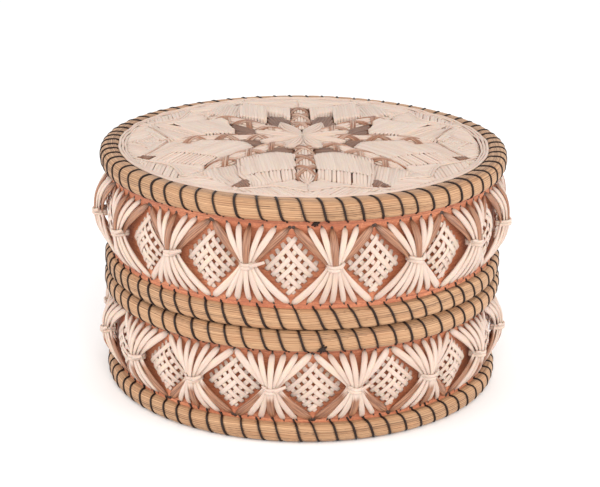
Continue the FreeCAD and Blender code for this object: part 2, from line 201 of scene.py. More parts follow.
class Shader:
    """A small helper that writes one material's nodes."""

    def __init__(self, name, **sockets):
        self.material = bpy.data.materials.new(name)
        self.material.use_nodes = True
        self.tree = self.material.node_tree
        self.surface(**sockets)

    def feed(self, socket, setting):
        if isinstance(setting, bpy.types.NodeSocket):
            self.tree.links.new(setting, socket)
        else:
            socket.default_value = setting

    def fill(self, node, **sockets):
        """Sets or links a node's sockets, which are named with _ for a space."""
        for label, setting in sockets.items():
            self.feed(node.inputs[label.replace("_", " ")], setting)
        return node

    def surface(self, **sockets):
        self.fill(self.tree.nodes["Principled BSDF"], **sockets)

    def node(self, kind, **sockets):
        return self.fill(self.tree.nodes.new(kind), **sockets)

    def field(self, name, output="Fac"):
        """What the mesh carries at its points under a name."""
        node = self.node("ShaderNodeAttribute")
        node.attribute_name = name
        return node.outputs[output]

    def noise(self, source, scale, detail, roughness=0.5, shift=(0.0, 0.0, 0.0)):
        """Noise with a scale of its own along each axis."""
        mapped = self.node("ShaderNodeMapping", Vector=source, Scale=scale, Location=shift)
        return self.node("ShaderNodeTexNoise", Vector=mapped.outputs["Vector"], Scale=1.0, Detail=detail,
                         Roughness=roughness).outputs["Fac"]

    def maths(self, operation, *values):
        node = self.node("ShaderNodeMath")
        node.operation = operation
        for socket, value in zip(node.inputs, values):
            self.feed(socket, value)
        return node.outputs[0]

    def spread(self, source, low, high, to_low=0.0, to_high=1.0):
        """Stretches low..high to to_low..to_high, with ends held."""
        return self.node("ShaderNodeMapRange", Value=source, From_Min=low, From_Max=high,
                         To_Min=to_low, To_Max=to_high).outputs["Result"]

    def mix(self, share, first, second):
        node = self.node("ShaderNodeMix")
        node.data_type = "RGBA"
        self.fill(node, Factor=share, A=first, B=second)
        return [out for out in node.outputs if out.type == "RGBA"][0]

    def between(self, source, low, high, first, second):
        """One sRGB colour that turns into another as the source goes from low to high."""
        return self.mix(self.spread(source, low, high), linear(first), linear(second))

    def stain(self, under, source, low, high, strength, colour):
        """An sRGB colour laid over what is there as the source goes from low to high."""
        return self.mix(self.spread(source, low, high, 0.0, strength), under, linear(colour))

    def finish(self, colour, rough, relief, depth, strength):
        """The surface's colour, its roughness as spread's arguments, and its relief."""
        bump = self.node("ShaderNodeBump", Height=relief, Distance=depth, Strength=strength)
        self.surface(Base_Color=colour, Roughness=self.spread(*rough), Normal=bump.outputs["Normal"])
        return self.material


def make_bark(name, scored=()):
    """The warm inner face of birch bark: fine grain round the box, soft blotches, short dark pores.

    Thin lines are scored round the box at the given levels.
    """
    shader = Shader(name)
    place = shader.node("ShaderNodeTexCoord").outputs["Object"]
    blotch = shader.noise(place, (45.0, 45.0, 45.0), 4.0)
    grain = shader.noise(place, (90.0, 90.0, 1400.0), 4.0, 0.6)
    fleck = shader.noise(place, (160.0, 160.0, 900.0), 1.0, shift=(3.0, 5.0, 7.0))
    speckle = shader.noise(place, (900.0, 900.0, 2600.0), 2.0, 0.7)
    base = shader.between(blotch, 0.35, 0.65, BARK_DEEP, BARK_PALE)
    base = shader.stain(base, grain, 0.38, 0.66, 0.6, BARK_GRAIN)
    base = shader.stain(base, fleck, 0.66, 0.72, 0.7, BARK_FLECK)
    base = shader.stain(base, speckle, 0.42, 0.68, 0.5, BARK_SPECKLE)
    base = shader.stain(base, speckle, 0.42, 0.28, 0.35, BARK_GLINT)
    level = shader.node("ShaderNodeSeparateXYZ", Vector=place).outputs["Z"]
    waver = shader.maths("ADD", level, shader.spread(blotch, 0.3, 0.7, -SCORE_WAVER, SCORE_WAVER))
    for score in scored:
        away = shader.maths("ABSOLUTE", shader.maths("SUBTRACT", waver, score))
        base = shader.stain(base, away, 0.2 * MM, 0.05 * MM, 0.6, BARK_SCORE)
    return shader.finish(base, (blotch, 0.3, 0.7, 0.52, 0.72), grain, 0.22 * MM, 0.6)


def make_quill():
    """Porcupine quill: glossy, cream to brown, with fine streaks along it."""
    shader = Shader("porcupine_quill", Specular_IOR_Level=0.42, Coat_Roughness=0.3,
                    Subsurface_Weight=0.12, Subsurface_Scale=1.2 * MM)
    lay = shader.field("lay", "Vector")
    fibre = shader.noise(lay, (0.0, 0.0, 2.2661), 0.0)
    streak = shader.noise(lay, (0.10, 3.2, 5.3), 3.0, 0.6)
    cloud = shader.noise(lay, (0.16, 0.3, 7.7), 2.0)
    cream = shader.between(fibre, 0.35, 0.65, CREAM, CREAM_SHADE)
    cream = shader.stain(cream, streak, 0.5, 0.75, 0.5, CREAM_STREAK)
    cream = shader.stain(cream, cloud, 0.52, 0.75, 0.45, CREAM_CLOUD)
    brown = shader.between(streak, 0.4, 0.63, BROWN, BROWN_STREAK)
    brown = shader.stain(brown, fibre, 0.3, 0.7, 0.4, BROWN_SHADE)
    edge = shader.maths("ADD", shader.field("tint"), shader.spread(streak, 0.3, 0.7, -0.18, 0.18))
    blend = shader.mix(shader.spread(edge, 0.25, 0.75), cream, brown)
    # soot turns the quill near black: own dark colour on some quills, painted shade at holes and tips
    soot = shader.field("soot")
    blend = shader.mix(soot, blend, linear(QUILL_DARK_AND_SHADE))
    shader.surface(Coat_Weight=shader.spread(soot, 0.0, 0.5, 0.1, 0.0))
    return shader.finish(blend, (streak, 0.3, 0.8, 0.36, 0.54), streak, 0.12 * MM, 0.5)


def make_sweetgrass():
    """Dried sweetgrass: straw tan strands with darker and lighter ones, dark hairlines, and painted shade in
    the grooves between strands and under the stitches.
    """
    shader = Shader("sweetgrass", Sheen_Weight=0.08, Specular_IOR_Level=0.4)
    lay = shader.field("lay", "Vector")
    strand = shader.noise(lay, (0.004, 1.9, 0.0), 2.0)
    hair = shader.noise(lay, (0.02, 7.0, 3.0), 3.0, 0.6)
    patch = shader.noise(lay, (0.045, 0.25, 9.0), 3.0)
    base = shader.between(strand, 0.35, 0.65, STRAW_DARK, STRAW)
    base = shader.stain(base, hair, 0.48, 0.75, 0.55, STRAW_HAIR)
    base = shader.stain(base, patch, 0.45, 0.75, 0.45, STRAW_PATCH)
    base = shader.mix(shader.field("soot"), base, linear(STRAW_GAP_SHADE))
    return shader.finish(base, (hair, 0.3, 0.8, 0.45, 0.65), hair, 0.18 * MM, 0.6)


def make_thread():
    """Waxed black thread."""
    shader = Shader("waxed_thread", Specular_IOR_Level=0.25)
    lay = shader.field("lay", "Vector")
    twist = shader.noise(lay, (3.5, 2.4, 1.7), 2.0)
    wear = shader.noise(lay, (0.3, 0.3, 5.1), 2.0)
    base = shader.between(twist, 0.35, 0.7, BLACK, BLACK_TWIST)
    base = shader.stain(base, wear, 0.6, 0.8, 0.35, BLACK_WEAR)
    return shader.finish(base, (twist, 0.3, 0.7, 0.38, 0.6), twist, 0.1 * MM, 0.7)


BARK = make_bark("birch_bark")
SCORED_BARK = make_bark("scored_birch_bark", (TOP_LOW - 0.7 * MM, LOWER_HIGH + 1.7 * MM,
                                              SHOULDER_LOW - 1.0 * MM, FOOT_HIGH + 1.5 * MM))
QUILL = make_quill()
SWEETGRASS = make_sweetgrass()
THREAD = make_thread()

for node in ("base_bottom_disc", "base_side_wall", "base_collar", "lid_side_lining", "lid_side_wall",
             "lid_top_disc", "lid_top_lining"):
    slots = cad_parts[node].data.materials
    slots.clear()
    slots.append(SCORED_BARK if node.endswith("side_wall") else BARK)


# Sweetgrass rims

RIM_STEPS_PER_STITCH = 12
RIM_COLUMNS = 144
RIM_SQUARENESS = 2.7
OUTLINE_STEPS = 2400
STRAND_DEPTH = 0.22 * MM
STRAND_PITCH = 0.86 * MM
STRAND_LIFT = 0.16 * MM
# How the strands wander round the rim: sizes in strands, and waves in a full turn
STRAND_WAVES = ((1.1, 2), (0.7, 5), (0.4, 11))
PINCH_DEPTH = 0.42 * MM
PINCH_WIDTH = 1.0 * MM
THREAD_RADIUS = 0.47 * MM
TOP_RIM_RAISE = 0.7 * MM
FOOT_RIM_RAISE = 0.3 * MM
TOP_RIM_SAG = 1.2 * MM
HOLE_DISTANCES = {-1: 1.0 * MM, 1: 1.7 * MM}
HOLE_STEPS = np.array([0.6, 1.0])
HOLE_LEAN = 0.5
# Lean, half length and lift of each piece of thread in a knot, in radians and millimetres
KNOT_THREADS = ((0.1, 1.2, 0.5), (1.2, 1.0, 0.8), (-0.9, 1.0, 0.9), (0.5, 2.1, 0.3), (-1.9, 1.9, 0.2))
LAG = math.radians(3.1)
LAG_START, LAG_RISE, LAG_HOLD, LAG_FALL = (math.radians(degrees) for degrees in (3, 25, 60, 60))


def rim_section(inner, outer, low, high, notch=None):
    """The closed outline of a bundle as (radius, level) points, evenly spaced.

    A notch (radius, level, side) keeps the bundle clear of the bark: points at a smaller radius are
    held above that level with side 1, or below it with side -1.
    """
    turn = np.linspace(0, FULL_TURN, OUTLINE_STEPS, endpoint=False) - math.pi / 2
    power = 2 / RIM_SQUARENESS
    radius = (inner + outer) / 2 + (outer - inner) / 2 * squared(np.cos(turn), power)
    level = (low + high) / 2 + (high - low) / 2 * squared(np.sin(turn), power)
    if notch:
        wall, floor, side = notch
        inside = (radius < wall) & ((level - floor) * side < 0)
        nearer_wall = (wall - radius) < np.abs(level - floor)
        radius = np.where(inside & nearer_wall, wall, radius)
        level = np.where(inside & ~nearer_wall, floor, level)
    outline = np.stack([radius, level], axis=-1)
    closed = np.vstack([outline, outline[:1]])
    along = lengths_along(closed)
    places = np.linspace(0, along[-1], RIM_COLUMNS, endpoint=False)
    return np.stack([np.interp(places, along, closed[:, axis]) for axis in range(2)], axis=-1)


def half_section(inner, outer, low, high):
    """A bundle that lies flat against bark at its inner side."""
    section = rim_section(2 * inner - outer, outer, low, high)
    section[:, 0] = np.maximum(section[:, 0], inner)
    return section


class Rim:
    """One sweetgrass bundle with its binding stitches."""

    def __init__(self, node, wall, section, start, stop, slant, seed, hole_side, sag=0.0, knot=None,
                 lag=0.0):
        """start and stop are (radius, level) where a stitch leaves and meets the bark.

        The thread goes into the wall below the bundle with hole_side -1, above it with 1. knot is
        the (radius, angle, level) at which it is tied off, and lag the angle by which the stitches
        run ahead of even steps at the left of the front.
        """
        self.node, self.wall, self.section = node, wall, section
        self.hole_side, self.sag, self.knot = hole_side, sag, knot
        self.draw = np.random.default_rng(seed)
        pitch = FULL_TURN / STITCH_COUNT
        self.angles = (np.arange(STITCH_COUNT) + self.draw.uniform(-0.06, 0.06, STITCH_COUNT)) * pitch
        leftward = (LAG_START - self.angles) % FULL_TURN
        ahead = smooth(leftward / LAG_RISE) * (1 - smooth((leftward - LAG_HOLD) / LAG_FALL))
        self.angles -= lag * ahead
        self.slants = slant / section[:, 0].max() * self.draw.uniform(0.88, 1.12, STITCH_COUNT)
        self.along = lengths_along(np.vstack([section, section[:1]]))
        self.first, self.last = (int(np.argmin(np.linalg.norm(section - np.array(end), axis=1)))
                                 for end in (start, stop))
        tangent = np.roll(section, -1, axis=0) - np.roll(section, 1, axis=0)
        normal = unit(np.stack([tangent[:, 1], -tangent[:, 0]], axis=-1))
        if ((section - section.mean(axis=0)) * normal).sum() < 0:
            normal = -normal
        self.normal = normal

    def dip(self, angle, level):
        """How far the hand-bound bundle sags at the back."""
        low, high = self.section[:, 1].min(), self.section[:, 1].max()
        return self.sag * smooth(0.1 - np.cos(angle)) * np.clip((level - low) / (high - low), 0, 1)

    def columns(self):
        """The columns a stitch passes over, from its upper to its lower end."""
        forward = (self.last - self.first) % RIM_COLUMNS
        to_outside = (int(np.argmax(self.section[:, 0])) - self.first) % RIM_COLUMNS
        way, count = (1, forward) if to_outside <= forward else (-1, -forward % RIM_COLUMNS)
        return [(self.first + way * step) % RIM_COLUMNS for step in range(count + 1)]

    def bundle(self):
        rows = STITCH_COUNT * RIM_STEPS_PER_STITCH
        angle = np.arange(rows) * (FULL_TURN / rows)
        girth = self.along[-1]
        outer = self.section[:, 0].max()
        phases = self.draw.uniform(0, FULL_TURN, len(STRAND_WAVES))
        wander = sum(size * np.sin(count * angle + phase)
                     for (size, count), phase in zip(STRAND_WAVES, phases)) * STRAND_PITCH
        strand_count = round(girth / STRAND_PITCH)
        across = (self.along[:-1] + wander[:, None]) / girth * strand_count
        strand = np.floor(across)
        within = across - strand
        height = self.draw.uniform(0, 1, strand_count)
        dark = self.draw.uniform(0.05, 1, strand_count) ** 2
        swell = self.draw.uniform(0, FULL_TURN, strand_count)
        which = strand.astype(int) % strand_count
        ridge = np.sqrt(np.clip(1 - (2 * within - 1) ** 2, 0, 1))
        lift = STRAND_LIFT * height[which] * (1 + np.sin(angle[:, None] * 9 + swell[which])) / 2
        fading = 0.6 + 0.4 * np.sin(angle[:, None] * 5 + 2 * swell[which])
        pinch = np.zeros((rows, RIM_COLUMNS))
        bound = self.columns()
        share = np.full(RIM_COLUMNS, np.nan)
        share[bound] = np.linspace(-0.5, 0.5, len(bound))
        known = ~np.isnan(share)
        for stitch, slant in zip(self.angles, self.slants):
            gap = angle[:, None] - (stitch + slant * np.where(known, share, 0.5))
            gap = (gap + math.pi) % FULL_TURN - math.pi
            pinch = np.maximum(pinch, np.exp(-(gap * outer / PINCH_WIDTH) ** 2) * known)
        inward = STRAND_DEPTH * (1 - ridge) + lift + PINCH_DEPTH * pinch
        radius = self.section[:, 0] - self.normal[:, 0] * inward
        level = self.section[:, 1] - self.normal[:, 1] * inward
        weave = Weave()
        lay = np.stack(np.broadcast_arrays(angle[:, None] * outer / MM, across, 0.0), axis=-1)
        # Painted shade: darker at each strand's edges, in the grooves between strands, and where a stitch
        # pinches the bundle
        soot = np.clip(2.1 * np.abs(2 * within - 1) ** 3 * dark[which] * fading + 0.3 * pinch ** 2, 0, 1)
        level = level - self.dip(angle[:, None], level)
        weave.grid(around(radius, angle[:, None], level), lay, soot=soot, loop=True)
        weave.piece(f"{self.node}_sweetgrass", "sweetgrass", SWEETGRASS)

    def stitches(self):
        """Thread over the bundle, going down into the bark on the wall side."""
        weave = Weave()
        bound = self.columns()[::3]
        if bound[-1] != self.last:
            bound.append(self.last)
        share = np.linspace(-0.5, 0.5, len(bound))
        lift = THREAD_RADIUS * 0.55 - PINCH_DEPTH
        surface = self.section[bound] + self.normal[bound] * lift
        middle_radius, middle_level = self.section.mean(axis=0)
        ends = np.array([self.wall + THREAD_RADIUS * 0.7, self.wall - THREAD_RADIUS])
        for stitch, slant in zip(self.angles, self.slants):
            angle = stitch + slant * share
            radius, level = surface.T
            way = HOLE_STEPS * HOLE_DISTANCES[self.hole_side] * self.draw.uniform(0.75, 1.25)
            if self.hole_side < 0:
                radius = np.append(radius, ends)
                level = np.append(level, level[-1] - way)
                angle = np.append(angle, angle[-1] + HOLE_LEAN * way / self.wall)
            else:
                radius = np.insert(radius, 0, ends[::-1])
                level = np.insert(level, 0, level[0] + way[::-1])
                angle = np.insert(angle, 0, angle[0] - HOLE_LEAN * way[::-1] / self.wall)
            path = around(radius, angle, level - self.dip(angle, level))
            up = unit(path - around(middle_radius, angle, middle_level))
            thick = THREAD_RADIUS * self.draw.uniform(0.85, 1.15)
            weave.fibre(path, up, thick, thick * 0.8, sides=6, squareness=1.0)
        if self.knot:
            self.tie_off(weave)
        weave.piece(f"{self.node}_stitches", "black_thread", THREAD)

    def tie_off(self, weave):
        """A small knot: three short turns of thread and two cut ends."""
        radius, angle, level = self.knot
        centre = around(radius, angle, level)
        out = around(1.0, angle, 0.0)
        aside = around(1.0, angle + math.pi / 2, 0.0)
        travel = np.linspace(-1, 1, 9)[:, None]
        for lean, half_length, lift in KNOT_THREADS:
            run = aside * math.cos(lean) + UPWARD * math.sin(lean)
            path = centre + (run * travel * half_length + out * (lift - 0.7 * travel ** 2)) * MM
            weave.fibre(path, out, THREAD_RADIUS * 0.9, THREAD_RADIUS * 0.8, sides=6, squareness=1.0)


def make_rims():
    hide = 0.3 * MM
    top = rim_section(FIELD, TOP_RIM, TOP_LOW + TOP_RIM_RAISE, TOP_HIGH,
                      (LID_WALL - hide, LID_TOP - hide, 1))
    foot = rim_section(BASE_WALL - FOOT_RIM_LAP, FOOT_RIM, FOOT_LOW + FOOT_RIM_RAISE, FOOT_HIGH,
                       (BASE_WALL - hide, FLOOR_DISC_LOW + hide, -1))
    shoulder = half_section(COLLAR - hide, SHOULDER_RIM, SHOULDER_LOW, SHOULDER_HIGH)
    lower = half_section(LINING - hide, LOWER_RIM, LOWER_LOW, LOWER_HIGH)
    lid_knot = (LID_WALL, math.radians(3.6), TOP_LOW - 0.2 * MM)
    base_knot = (SHOULDER_RIM, math.radians(5.6), SHOULDER_LOW + 2.4 * MM)
    for rim in (
        Rim("lid_top", LID_WALL, top, (FIELD, LID_TOP), (LID_WALL, TOP_LOW),
            slant=5.4 * MM, seed=11, hole_side=-1, sag=TOP_RIM_SAG, knot=lid_knot, lag=LAG),
        Rim("lid_lower", LID_WALL, lower, (LID_WALL, LOWER_HIGH), (LINING, LOWER_LOW),
            slant=5.4 * MM, seed=12, hole_side=1),
        Rim("base_shoulder", BASE_WALL, shoulder, (COLLAR, SHOULDER_HIGH), (BASE_WALL, SHOULDER_LOW),
            slant=5.2 * MM, seed=13, hole_side=-1, knot=base_knot),
        Rim("base_foot", BASE_WALL, foot, (BASE_WALL, FOOT_HIGH), (BASE_WALL - FOOT_RIM_LAP, FLOOR_DISC_LOW),
            slant=5.6 * MM, seed=14, hole_side=1),
    ):
        rim.bundle()
        rim.stitches()


# Quill fans and plaited diamonds

# Each fan quill: how far out its tips lie, as a share of half a fan, and its slot in the waist
LIGHT_QUILL_SHARES = ((-0.62, -2), (-0.31, -1), (0.29, 1), (0.59, 2))
BROWN_QUILL_SHARES = ((-0.97, -3), (-0.02, 0), (0.97, 3))
TIP_MARGINS = {"lid": (2.0 * MM, 2.0 * MM), "base": (1.1 * MM, 1.2 * MM)}
WAIST_LIFTS = {"lid": 1.15 * MM, "base": 0.45 * MM}
SIDE_DROPS = {"lid": 2.2 * MM, "base": 0.0}
WAIST_WIDTH = 5.0 * MM
WAIST_RISE = 6.1 * MM
SLOT_WIDTH = WAIST_WIDTH / 7 * 0.92
SLOT_DROP = 0.28 * MM
MIDDLE_LIFT = 0.45 * MM
TIP_SINK = 0.45 * MM
QUILL_STEPS = 14
QUILL_HALF_WIDTH = 1.2
FULL_EXTRA = 0.28
BROWN_EXTRA = 0.25
TIP_WANDER = 0.025
TIP_JITTER = 0.35 * MM
STACK_JITTER = 0.1 * MM
# Length of the tapered tip, sharpness of its taper and width of its end, as shares
WHITE_TIP = (0.10, 0.5, 0.3)
BROWN_TIP = (0.20, 0.6, 0.25)
# For a quill's upper half (True) and lower half (False)
BROWN_REACH = {True: 0.3, False: 0.14}
WAIST_SHARES = {True: 0.56, False: 0.74}
BELLIES = {True: 3.0, False: 2.1}
FULLNESS = {True: 0.25, False: 0.1}
HOLE_SHADE_SIZES = {True: 1.0, False: 0.7}
# Half widths of the dark sheet of painted shade at each quill's hole, scaled by the sizes above
HOLE_SHADE_HALF_WIDTHS = np.array([0.3, 0.5, 0.52, 0.4, 0.15]) * MM
TIE_HEIGHT = 2.6 * MM
TIE_THICK = 0.45 * MM
TIE_CORE = 2.6 * MM
TIE_SWEEP = 1.75


def on_wall(wall, turn, across, level, height):
    """Points on the band: across is the distance round the wall, height the distance out from it."""
    return around(wall + height, turn + across / wall, level)


def lay_on_wall(weave, wall, turn, across, level, height, *size, **looks):
    """Adds a fibre along a line on the band, with its broad side facing out."""
    outward = on_wall(wall + 1, turn, across, 0 * across, 0 * across)
    weave.fibre(on_wall(wall, turn, across, level, height), outward, *size, **looks)


def fan_half(weave, draw, wall, turn, middle, tip_level, share, slot, brown, fullness, up_half):
    """One half of a quill, from the waist to its tip, where it goes into the bark, with a thin dark sheet of
    painted shade on the bark at its hole.
    """
    half_pitch = math.pi / FAN_COUNT * wall
    travel = np.linspace(0, 1, QUILL_STEPS) ** 0.9
    tip_across = (share + draw.uniform(-TIP_WANDER, TIP_WANDER)) * half_pitch
    start_across = slot * SLOT_WIDTH
    across = start_across + (tip_across - start_across) * travel ** (1.0 + 0.25 * abs(share))
    rise = middle + (tip_level + draw.uniform(-TIP_JITTER, TIP_JITTER) - middle) * travel
    stack = WAIST_RISE - SLOT_DROP * slot * slot + draw.uniform(-STACK_JITTER, STACK_JITTER)
    if slot == 0:
        stack = stack + MIDDLE_LIFT
    height = stack * (1 - travel ** BELLIES[up_half]) - TIP_SINK * travel ** 8 + 0.35 * MM * (1 - travel)
    full = QUILL_HALF_WIDTH + FULL_EXTRA * fullness + BROWN_EXTRA * brown * (slot != 0)
    waist = WAIST_SHARES[up_half]
    swell = waist + (1 - waist) * smooth(travel / 0.62) + 0.2 * brown * (1 - travel)
    taper, sharpness, blunt = BROWN_TIP if brown else WHITE_TIP
    end = np.clip((1.0 - travel) / taper, 0, 1) ** sharpness * (1 - blunt) + blunt
    half_width = full * MM * draw.uniform(0.92, 1.08) * swell * end
    half_height = half_width * (0.56 - 0.1 * travel - 0.16 * brown)
    tint = 0.0
    if brown:
        pale = 0.1 if slot or up_half else 0.16
        tint = smooth((travel + BROWN_REACH[up_half] - pale) / 0.5) * 1.1
    # Painted shade where the tip dips into its hole in the bark, strongest on brown quills, whose tips are
    # also darker in colour
    soot = 0.75 * smooth((travel - 0.86) / 0.14) * (1.0 if brown else 0.25)
    lay_on_wall(weave, wall, turn, across, rise, height, half_width, half_height, tint, soot, sides=10)
    # A thin dark sheet on the bark at the tip: painted shade in the quill's hole
    hole = np.linspace(-0.6, 0.75, len(HOLE_SHADE_HALF_WIDTHS)) * MM
    lean = math.atan2(across[-1] - across[-3], rise[-1] - rise[-3])
    size = HOLE_SHADE_SIZES[up_half]
    if brown:
        size = 1.6 if slot else 1.2
    lay_on_wall(weave, wall, turn, across[-1] + hole * math.sin(lean), rise[-1] + hole * math.cos(lean),
                0.02 * MM, HOLE_SHADE_HALF_WIDTHS * size, 0.08 * MM, 1.0, 0.9)


def tie_end(weave, wall, turn, middle, steps, start, run, level, rise, widths, thick):
    """A cut end of a tie; level and rise are (start, change) in millimetres from the waist."""
    travel = np.linspace(0, 1, steps)
    lay_on_wall(weave, wall, turn, start + run * travel, middle + (level[0] + level[1] * travel) * MM,
                WAIST_RISE + (rise[0] - rise[1] * travel ** 1.5) * MM, np.linspace(*widths, steps) * MM,
                thick * MM, soot=0.05)


def tie_band(weave, draw, wall, turn, middle):
    """The quill wound round a waist, with one or both of its cut ends left standing."""
    sweep = np.linspace(-TIE_SWEEP, TIE_SWEEP, 18)
    lean = draw.uniform(-0.25, 0.35) * MM
    for wrap in (-0.5, 0.5):
        level = middle + wrap * TIE_HEIGHT * 0.5 + lean * np.sin(sweep)
        across = (WAIST_WIDTH / 2 + 0.35 * MM) * np.sin(sweep)
        height = TIE_CORE + (WAIST_RISE - 0.9 * MM) * np.cos(sweep)
        path = on_wall(wall, turn, across, level, height)
        outward = unit(path - on_wall(wall, turn, 0.0, level, TIE_CORE))
        weave.fibre(path, outward, TIE_HEIGHT * 0.27, TIE_THICK)
    reach_right = draw.choice([0.8, 1.6, 3.2, 4.2]) * MM
    tie_end(weave, wall, turn, middle, 7, WAIST_WIDTH * 0.25, WAIST_WIDTH * 0.27 + reach_right,
            (0.2, 1.6), (1.3, 1.8), (0.95, 0.62), 0.38)
    if draw.uniform() >= 0.55:
        reach_left = draw.uniform(0.3, 1.0) * MM
        tie_end(weave, wall, turn, middle, 5, -WAIST_WIDTH * 0.3, -WAIST_WIDTH * 0.25 - reach_left,
                (0.9, 0.5), (0.7, 1.4), (0.8, 0.5), 0.34)


def make_fans(body, wall, low, high, turn, brown_up, seed):
    """All quill fans on one band."""
    draw = np.random.default_rng(seed)
    light, brown, ties = Weave(), Weave(), Weave()
    lower_tip, upper_tip = low + TIP_MARGINS[body][0], high - TIP_MARGINS[body][1]
    for fan in range(FAN_COUNT):
        angle = turn + fan * FULL_TURN / FAN_COUNT
        middle = (lower_tip + upper_tip) / 2 + WAIST_LIFTS[body] - SIDE_DROPS[body] * math.sin(angle) ** 8
        for shares, weave, is_brown in ((LIGHT_QUILL_SHARES, light, 0.0), (BROWN_QUILL_SHARES, brown, 1.0)):
            for share, slot in shares:
                for up_half in (True, False):
                    dark = is_brown if up_half == brown_up else 0.0
                    level = upper_tip if up_half else lower_tip
                    full = 1.0 if abs(slot) == 3 or (slot == 0 and dark) else FULLNESS[up_half]
                    fan_half(weave, draw, wall, angle, middle, level, share, slot, dark, full, up_half)
        tie_band(ties, draw, wall, angle, middle)
    light.piece(f"{body}_fan_quills_light", "white_quill", QUILL)
    brown.piece(f"{body}_fan_quills_brown", "brown_quill", QUILL)
    ties.piece(f"{body}_fan_ties", "white_quill", QUILL)


DIAMOND_WIDTHS = {"lid": 21.3 * MM, "base": 22.6 * MM}
DIAMOND_MARGINS = {"lid": 5.8 * MM, "base": 4.7 * MM}
PLAIT_STRIPS = 5
PLAIT_WIDTH = 2.0 * MM
PLAIT_THICK = 0.38 * MM
PLAIT_WAVE = 0.21 * MM
PLAIT_SEAT = 0.62 * MM
PLAIT_CROWN = 2.3 * MM
PLAIT_TAIL = 1.3 * MM
PLAIT_POINTS = 33


def make_diamonds(body, wall, low, high, turn, seed):
    """Diamonds plaited over and under from flattened quills."""
    draw = np.random.default_rng(seed)
    weave = Weave()
    half_width = DIAMOND_WIDTHS[body] / 2
    half_height = (high - low) / 2 - DIAMOND_MARGINS[body]
    middle = (low + high) / 2
    edge = math.hypot(half_width, half_height)
    rising = np.array([half_width, half_height])
    falling = np.array([half_width, -half_height])
    left = np.array([-half_width, 0.0])
    for place in range(FAN_COUNT):
        angle = turn + (place + 0.5) * FULL_TURN / FAN_COUNT
        for along, over, first in ((rising, falling, 1), (falling, rising, -1)):
            for strip in range(PLAIT_STRIPS):
                extra = draw.uniform(0.4, 1.1, 2) * MM / edge
                extra[int(first > 0)] += PLAIT_TAIL / edge
                travel = np.linspace(-extra[0], 1 + extra[1], PLAIT_POINTS)
                shift = (strip + 0.5) / PLAIT_STRIPS + draw.uniform(-0.008, 0.008)
                skew = draw.uniform(-0.012, 0.012)
                flat = left + over * (shift + skew * (travel[:, None] - 0.5)) + along * travel[:, None]
                fold = PLAIT_STRIPS - 1 - strip
                fold = fold + ((strip + 1) % 2 if first > 0 else fold % 2 == 0)
                over_under = first * (1 - 2 * smooth((travel - fold / PLAIT_STRIPS) / 0.12 + 0.5))
                crown = (1 - (2 * shift - 1) ** 2) * np.clip(1 - (2 * travel - 1) ** 2, 0, 1)
                beyond = np.maximum(np.maximum(-travel, travel - 1), 0) * edge
                height = PLAIT_SEAT + PLAIT_WAVE * over_under + PLAIT_CROWN * crown - 0.55 * beyond
                past = smooth(beyond / (1.0 * MM))
                width = PLAIT_WIDTH / 2 * draw.uniform(0.92, 1.08)
                # Cut ends of the rising strips past the diamond's upper edge are greyed; further on, where
                # an end goes down into the bark, it gets painted shade
                grey = 0.22 * past * (travel > 0.5) * (first > 0)
                soot = grey + 0.4 * smooth((beyond - 1.9 * MM) / (0.5 * MM))
                lay_on_wall(weave, wall, angle, flat[:, 0], middle + flat[:, 1], height,
                            width * (1 - 0.25 * past), PLAIT_THICK / 2, soot=soot, squareness=0.6)
    weave.piece(f"{body}_diamonds", "white_quill", QUILL)


def make_bands():
    for body, wall, low, high, turn, brown_up, fan_seed, diamond_seed in (
        ("lid", LID_WALL, LOWER_HIGH, TOP_LOW, LID_FAN_TURN, True, 21, 31),
        ("base", BASE_WALL, FOOT_HIGH, SHOULDER_LOW, BASE_FAN_TURN, False, 22, 32),
    ):
        make_fans(body, wall, low, high, turn, brown_up, fan_seed)
        make_diamonds(body, wall, low, high, turn, diamond_seed)


# Quill star on the lid

STAR_PARTS = ("spokes", "spoke_crossings", "rosette_petals", "dark_leaves", "panels", "fringe_quills",
              "border_wedges", "border_patches", "border_leaves")
BROWN_PARTS = ("spoke_crossings", "dark_leaves", "border_wedges")
# Places in a sector are (across, out) in millimetres from the middle of the lid: out along the
# sector's own spoke, across from it towards the next spoke.
SPOKE_HALF = 4.05
SPOKE_START = 13.0
SPOKE_TIP = 59.6
CROSSINGS = (19.2, 33.0, 46.8)
PANEL_END = ((26.2, 55.2), (20.0, 50.6), (14.5, 48.0), (9.0, 46.4), (4.7, 45.8))
PANEL = ((4.3, 25.4), (8.0, 23.6), (12.0, 22.4), (15.8, 24.0), (21.5, 29.4), (27.2, 33.0)) + PANEL_END
LEAF = ((3.4, 13.0), (3.4, 25.4), (8.2, 24.4), (12.0, 23.6), (15.6, 25.2), (22.0, 31.0), (19.6, 22.4),
        (17.0, 15.4), (12.0, 12.6))
BACK_LEAF = ((4.4, 13.0), (4.6, 28.0), (8.5, 36.5), (15.0, 39.0), (15.4, 25.0), (13.5, 20.0), (9.0, 12.5))
BACK_PANEL = ((4.7, 29.0), (8.6, 37.4), (15.2, 40.0), (15.6, 26.5), (21.5, 30.5), (27.2, 34.0)) + PANEL_END
SIDE_LEAF = ((4.4, 15.0), (4.4, 40.0), (8.4, 37.6), (11.5, 31.0), (16.4, 25.4), (12.6, 16.0))
SIDE_PANEL = ((4.6, 41.0), (8.4, 37.0), (12.0, 29.6), (16.6, 24.8), (21.5, 29.4), (27.2, 33.0)) + PANEL_END
FRINGE = ((4.3, 45.6), (4.3, 53.4), (14.8, 59.8), (25.0, 66.4), (26.2, 55.0), (20.0, 50.4), (14.5, 47.8),
          (9.0, 46.2))
WEDGE = ((26.0, 57.0), (28.8, 57.2), (33.4, 65.4), (31.2, 68.4), (25.8, 67.4))
